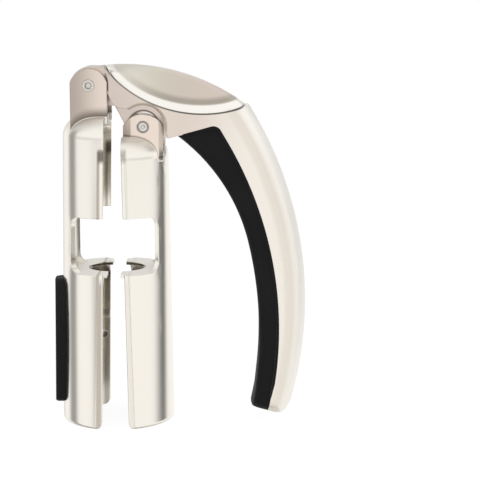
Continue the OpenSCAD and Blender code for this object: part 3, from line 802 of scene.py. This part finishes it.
class OPENER_OT_grip(bpy.types.Operator):
    """Make the black rubber grip along the inside of the handle"""

    bl_idname = "opener.grip"
    bl_label = "Lever grip"

    def execute(self, context):
        soft = context.scene.opener_sizes.grip_round
        bm = bmesh.new()
        stations = grip_stations()
        half = GRIP_HALF * MM
        # The section lies flat at first: x is 0 on the grip's inner face and less behind it, y goes across
        corners = [bm.verts.new((0, half * share, 0)) for share in GRIP_POINTS]
        rounded = [corners[0], corners[-1]]
        corners += [bm.verts.new((-GRIP_DEPTH * MM, half * share, 0)) for share in (1, -1)]
        bm.faces.new(corners)
        bmesh.ops.bevel(bm, geom=rounded, offset=soft, segments=6, profile=0.5, affect="VERTICES",
                        material=-1)
        section = bm.verts.layers.float_vector.new("section")
        for vert in bm.verts:
            vert[section] = vert.co.copy()
        face = max(bm.faces, key=lambda f: f.calc_area())
        self.place(face.verts, section, stations[0])
        for i, station in enumerate(stations[1:]):
            face = grow(bm, face, i == 0)
            self.place(face.verts, section, station)
        for side in (-1, 1):
            self.lip(bm, section, stations[:TOP_CUTS + SIDE_CUTS], side)
        material = soft_rubber("grip_rubber", context.scene.opener_colours.rubber)
        piece = finish_piece(bm, "grip_cover", material)
        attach(piece, "lever")
        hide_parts("lever_grip")
        # The shells mirror soft walls only
        for part in (piece, NODES["grip_core"], NODES["lever_body"]):
            part.visible_glossy = False
        return {"FINISHED"}

    @staticmethod
    def lip(bm, section, stations, side):
        """Laps the grip's edge over one side of the lever, narrower at both tips."""
        line = [stations[0][0]] + [outer for _, outer, _ in stations]
        spots = [Vector((x, 0, z)) * MM for x, z in line]
        spots[0] += (spots[1] - spots[0]).normalized() * LIP_START * MM
        root, seat, face = GRIP_HALF - LIP_SINK, LEVER_HALF + LIP_GAP, LEVER_HALF + LIP_PROUD
        shape = ((-LIP_ROOT, root), (-LIP_ROOT, face), (LIP_LAP, face), (LIP_LAP, seat), (-LIP_UNDER, seat),
                 (-LIP_UNDER, root))
        corners = [bm.verts.new((0, 0, i * MM)) for i in range(len(shape))]
        for vert, (out, y) in zip(corners, shape):
            vert[section] = Vector((out, side * y, 0)) * MM
        end = bm.faces.new(corners)
        for i, spot in enumerate(spots):
            if i:
                end = grow(bm, end, i == 1)
            run = (spots[min(i + 1, len(spots) - 1)] - spots[max(i - 1, 0)]).normalized()
            outwards = Vector((-run.z, 0, run.x))
            share = max(LIP_TIP, min(1.0, i, (len(spots) - 1 - i) / 2))
            for vert in end.verts:
                flat = vert[section]
                out = flat.x if flat.x < 0 else flat.x * share
                vert.co = spot + outwards * out + Vector((0, flat.y, 0))

    @staticmethod
    def place(verts, section, station):
        """Moves a flat section to its station along the grip."""
        inner, outer, half = station
        inner_at = Vector((inner[0], 0, inner[1])) * MM
        outer_at = Vector((outer[0], 0, outer[1])) * MM
        inwards = (inner_at - outer_at).normalized()
        depth = (inner_at - outer_at).length
        bow = END_BOW * (max(0.0, BOW_TOP - inner[1]) / BOW_TOP) ** 2 * MM
        for vert in verts:
            flat = vert[section]
            y = flat.y * half / GRIP_HALF
            back = flat.x - bow * (flat.y / (GRIP_HALF * MM)) ** 2
            if flat.x < -GRIP_BACK * GRIP_DEPTH * MM:
                vert.co = outer_at + Vector((0, y, 0))
            else:
                vert.co = inner_at + inwards * max(back, -GRIP_BACK * depth) + Vector((0, y, 0))


class OPENER_OT_pad(bpy.types.Operator):
    """Make the black rubber pad on the left shell"""

    bl_idname = "opener.pad"
    bl_label = "Shell pad"

    def execute(self, context):
        low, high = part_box("shell_pad")
        low.z += PAD_LIFT * MM
        middle = (low.z + high.z) / 2
        reach = (high.z - low.z) / 2
        half = high.y
        shell_r, face_r = PAD_SHELL[0] * MM, PAD_FACE[0] * MM
        side_r, corner = PAD_SIDE * MM, PAD_CORNER * MM
        bm = bmesh.new()
        layer = bm.verts.layers.float_vector.new("spot")
        made = bmesh.ops.create_grid(bm, x_segments=PAD_GRID[0], y_segments=PAD_GRID[1], size=1)
        for vert in made["verts"]:
            vert[layer] = vert.co.copy()
        grown = bmesh.ops.extrude_face_region(bm, geom=bm.faces[:])["geom"]
        faces = [part for part in grown if isinstance(part, bmesh.types.BMFace)]
        outside = {part for part in grown if isinstance(part, bmesh.types.BMVert)}
        for vert in bm.verts:
            spot = vert[layer]
            z = middle + reach * math.sin(spot.y * math.pi / 2)
            wide = half - side_r + math.sqrt(side_r ** 2 - (z - middle) ** 2)
            from_end = max(0.0, corner - reach + abs(z - middle))
            wide = min(wide, half - corner + math.sqrt(max(0.0, corner ** 2 - from_end ** 2)))
            y = wide * spot.x
            x = -math.sqrt((shell_r - PAD_SHELL[1] * z + PAD_CLEAR * MM) ** 2 - y ** 2)
            if vert in outside:
                x = PAD_FACE_X * MM - math.sqrt((face_r - PAD_FACE[1] * z) ** 2 - y ** 2)
            vert.co = Vector((x, y, z))
        bmesh.ops.recalc_face_normals(bm, faces=bm.faces)
        inside = set(faces)
        rim = [e for e in bm.edges if sum(f in inside for f in e.link_faces) == 1]
        bmesh.ops.bevel(bm, geom=rim, offset=context.scene.opener_sizes.pad_edge, segments=5, profile=0.5,
                        affect="EDGES", material=-1)
        material = soft_rubber("pad_rubber", context.scene.opener_colours.rubber)
        piece = finish_piece(bm, "pad_cover", material)
        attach(piece, "left_half")
        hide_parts("shell_pad")
        return {"FINISHED"}


class OPENER_OT_pins(bpy.types.Operator):
    """Make the left pin with its toothed ends and the right pin with its domed ends"""

    bl_idname = "opener.pins"
    bl_label = "Hinge pins"

    def execute(self, context):
        sizes = context.scene.opener_sizes
        steel = turned_metal("pin_steel", context.scene.opener_colours.steel, rough=0.26)
        for side, teeth, body in (("left", sizes.pin_teeth, "left_half"), ("right", 0, "right_half")):
            node = side + "_hinge_pin"
            low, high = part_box(node)
            radius = (high.x - low.x) / 2
            bm = bmesh.new()
            bmesh.ops.create_cone(bm, cap_ends=True, segments=2 * teeth or PIN_SIDES,
                                  radius1=radius, radius2=radius, depth=high.y - low.y)
            for end in (-1, 1):
                bm.normal_update()
                cap = next(f for f in bm.faces if len(f.verts) > 4 and f.normal.z * end > 0.9)
                if teeth:
                    self.tooth_end(bm, cap)
                else:
                    self.dome_end(bm, cap)
            lying = Matrix.Translation((low + high) / 2) @ Matrix.Rotation(math.pi / 2, 4, "X")
            bmesh.ops.transform(bm, matrix=lying, verts=bm.verts)
            piece = finish_piece(bm, side + "_pin_cover", steel)
            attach(piece, body)
            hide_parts(node)
        return {"FINISHED"}

    @staticmethod
    def tooth_end(bm, cap):
        """Presses a toothed socket into an end."""
        bmesh.ops.inset_region(bm, faces=[cap], thickness=TOOTH_RIM * MM, depth=0)
        middle = cap.calc_center_median()
        for i, vert in enumerate(cap.verts):
            if i % 2:
                vert.co = middle + (vert.co - middle) * TOOTH_IN
        bmesh.ops.inset_region(bm, faces=[cap], thickness=TOOTH_DRAFT * MM, depth=-TOOTH_DEEP * MM)

    @staticmethod
    def dome_end(bm, cap):
        """Rounds an end into a low dome with a dished middle, inside a groove."""
        for width, rise in DOME_STEPS:
            bmesh.ops.inset_region(bm, faces=[cap], thickness=width * MM, depth=rise * MM)


def studio_world(world):
    """White to the eye; metal sees soft white walls with dark gaps between them."""
    world.use_nodes = True
    board = Board(world.node_tree)
    way = board.add("ShaderNodeTexCoord").out("Generated")
    x, y, z = axes(board, way)
    # Degrees round the part from the front, rightwards, and degrees above the horizon
    around = board.maths("ARCTAN2", x, 0 - y) * (180 / math.pi)
    above = board.maths("ARCSINE", z) * (180 / math.pi)
    slant = 1.7
    lean = around - slant * above
    aside = board.maths("ABSOLUTE", around)
    slanted = board.rise(lean, 102, 133) * (1 - board.rise(lean, 137, 151))
    slanted = slanted * board.rise(above, 26, 10) * board.rise(above, -22, -17.5)
    left_side = board.band(around, -105, 6, 12)
    low_front = board.rise(around, -56, -41) * board.rise(around, -24, -31) * board.rise(above, -4, -14)
    horizon = board.rise(above, -2, 1) * board.rise(above, 9, 4) * board.band(aside, 57, 28, 12)
    far_left = board.rise(around, -135, -160)
    level = 1 - 0.92 * slanted - 0.68 * left_side - 0.85 * low_front - 0.3 * horizon - 0.25 * far_left
    walls = board.mix(level, (0.0, 0.0, 0.0, 1), (1.02, 1.0, 0.97, 1))
    path = board.add("ShaderNodeLightPath")
    seen = board.mix(path.out("Is Glossy Ray"), (0.72, 0.72, 0.72, 1), walls)
    colour = board.mix(path.out("Is Camera Ray"), seen, (1, 1, 1, 1))
    back = board.add("ShaderNodeBackground", {}, {"Color": colour, "Strength": 1.0})
    board.add("ShaderNodeOutputWorld", {}, {"Surface": back})


def floor_finish():
    """Pale floor that looks white and keeps a faint shadow."""
    material = bpy.data.materials.new("studio_floor")
    material.use_nodes = True
    board = Board(material.node_tree)
    plain = board.add("ShaderNodeBsdfDiffuse", {}, {"Color": (0.98, 0.98, 0.98, 1)})
    white = board.add("ShaderNodeEmission", {}, {"Color": (1, 1, 1, 1), "Strength": 1.05})
    share = board.add("ShaderNodeLightPath").out("Is Camera Ray") * 0.9
    both = board.add("ShaderNodeMixShader", {}, {0: share, 1: plain, 2: white})
    board.add("ShaderNodeOutputMaterial", {}, {"Surface": both})
    return material


class OPENER_OT_stage(bpy.types.Operator):
    """Set the floor, the soft light, the white surroundings and the camera"""

    bl_idname = "opener.stage"
    bl_label = "Floor, light and camera"

    def execute(self, context):
        scene = context.scene
        bm = bmesh.new()
        bmesh.ops.create_grid(bm, x_segments=2, y_segments=2, size=FLOOR_HALF)
        floor = finish_piece(bm, "studio_floor", floor_finish())
        floor.visible_glossy = False
        world = bpy.data.worlds.new("studio_white")
        scene.world = world
        studio_world(world)
        for name, spot, size, watts in LAMPS:
            lamp = bpy.data.lights.new(name, "AREA")
            lamp.size = size
            lamp.energy = watts
            light = bpy.data.objects.new(name, lamp)
            light.location = spot
            aim = Vector(LAMP_AIM) - light.location
            light.rotation_euler = aim.to_track_quat("-Z", "Y").to_euler()
            light.visible_glossy = False
            scene.collection.objects.link(light)
        camera_data = bpy.data.cameras.new("photo_camera")
        camera_data.sensor_width = CAMERA_SENSOR
        camera_data.lens = CAMERA_LENS
        camera_data.clip_start = 0.01
        camera = bpy.data.objects.new("photo_camera", camera_data)
        camera.location = CAMERA_AT
        camera.rotation_euler = (math.radians(CAMERA_TILT), 0, 0)
        scene.collection.objects.link(camera)
        scene.camera = camera
        scene.view_settings.view_transform = "Standard"
        return {"FINISHED"}


class OPENER_PT_panel(bpy.types.Panel):
    """Lists the opener's pieces and their sizes"""

    bl_label = "Cork Opener"
    bl_idname = "OPENER_PT_panel"
    bl_space_type = "VIEW_3D"
    bl_region_type = "UI"
    bl_category = "Opener"

    def draw(self, context):
        layout = self.layout
        for operator in OPERATORS:
            layout.operator(operator.bl_idname)
        for group in (context.scene.opener_sizes, context.scene.opener_colours):
            for name in group.__annotations__:
                layout.prop(group, name)


OPERATORS = (OPENER_OT_metalwork, OPENER_OT_hidden_parts, OPENER_OT_crown, OPENER_OT_grip, OPENER_OT_pad,
             OPENER_OT_pins, OPENER_OT_stage)
CLASSES = (OpenerSizes, OpenerColours) + OPERATORS + (OPENER_PT_panel,)


def register():
    for cls in CLASSES:
        bpy.utils.register_class(cls)
    bpy.types.Scene.opener_sizes = PointerProperty(type=OpenerSizes)
    bpy.types.Scene.opener_colours = PointerProperty(type=OpenerColours)


def unregister():
    del bpy.types.Scene.opener_colours
    del bpy.types.Scene.opener_sizes
    for cls in reversed(CLASSES):
        bpy.utils.unregister_class(cls)


def main():
    register()
    bpy.ops.opener.metalwork()
    bpy.ops.opener.hidden_parts()
    bpy.ops.opener.crown()
    bpy.ops.opener.grip()
    bpy.ops.opener.pad()
    bpy.ops.opener.pins()
    bpy.ops.opener.stage()
    bpy.context.view_layer.update()


if __name__ == "__main__":
    main()
